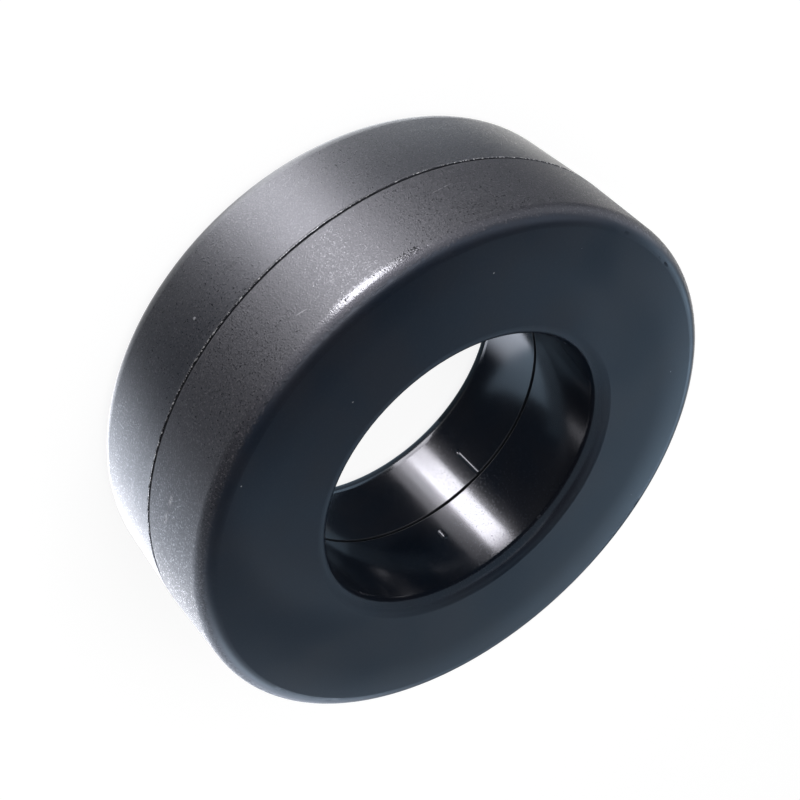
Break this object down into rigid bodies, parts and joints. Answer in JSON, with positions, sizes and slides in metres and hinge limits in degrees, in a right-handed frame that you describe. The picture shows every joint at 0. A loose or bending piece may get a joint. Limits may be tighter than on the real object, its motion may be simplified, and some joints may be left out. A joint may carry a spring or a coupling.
{
  "type": "cased ferrite toroid core",
  "caption": "Ring core of sintered ferrite sealed in a black moulded case of two lapped half shells, with a straight round bore for the winding.",
  "frame": {"origin": "middle of the rear face, on the ring's axis", "axes": "+Z along the ring's axis, from the rear face on which it lies to the front face; X and Y across the ring"},
  "size_m": [0.068, 0.068, 0.0242],
  "materials": {
    "case_plastic": "black moulded plastic, matt on the faces, fine grain on the tread, polished in the bore",
    "ferrite": "dark grey sintered ferrite, tumbled, dull",
    "cushion_foam": "soft closed-cell foam, grey"
  },
  "bodies": {
    "root": {"rear_shell": "case_plastic", "front_shell": "case_plastic", "core": "ferrite", "rear_cushion": "cushion_foam", "front_cushion": "cushion_foam"}
  },
  "joints": []
}
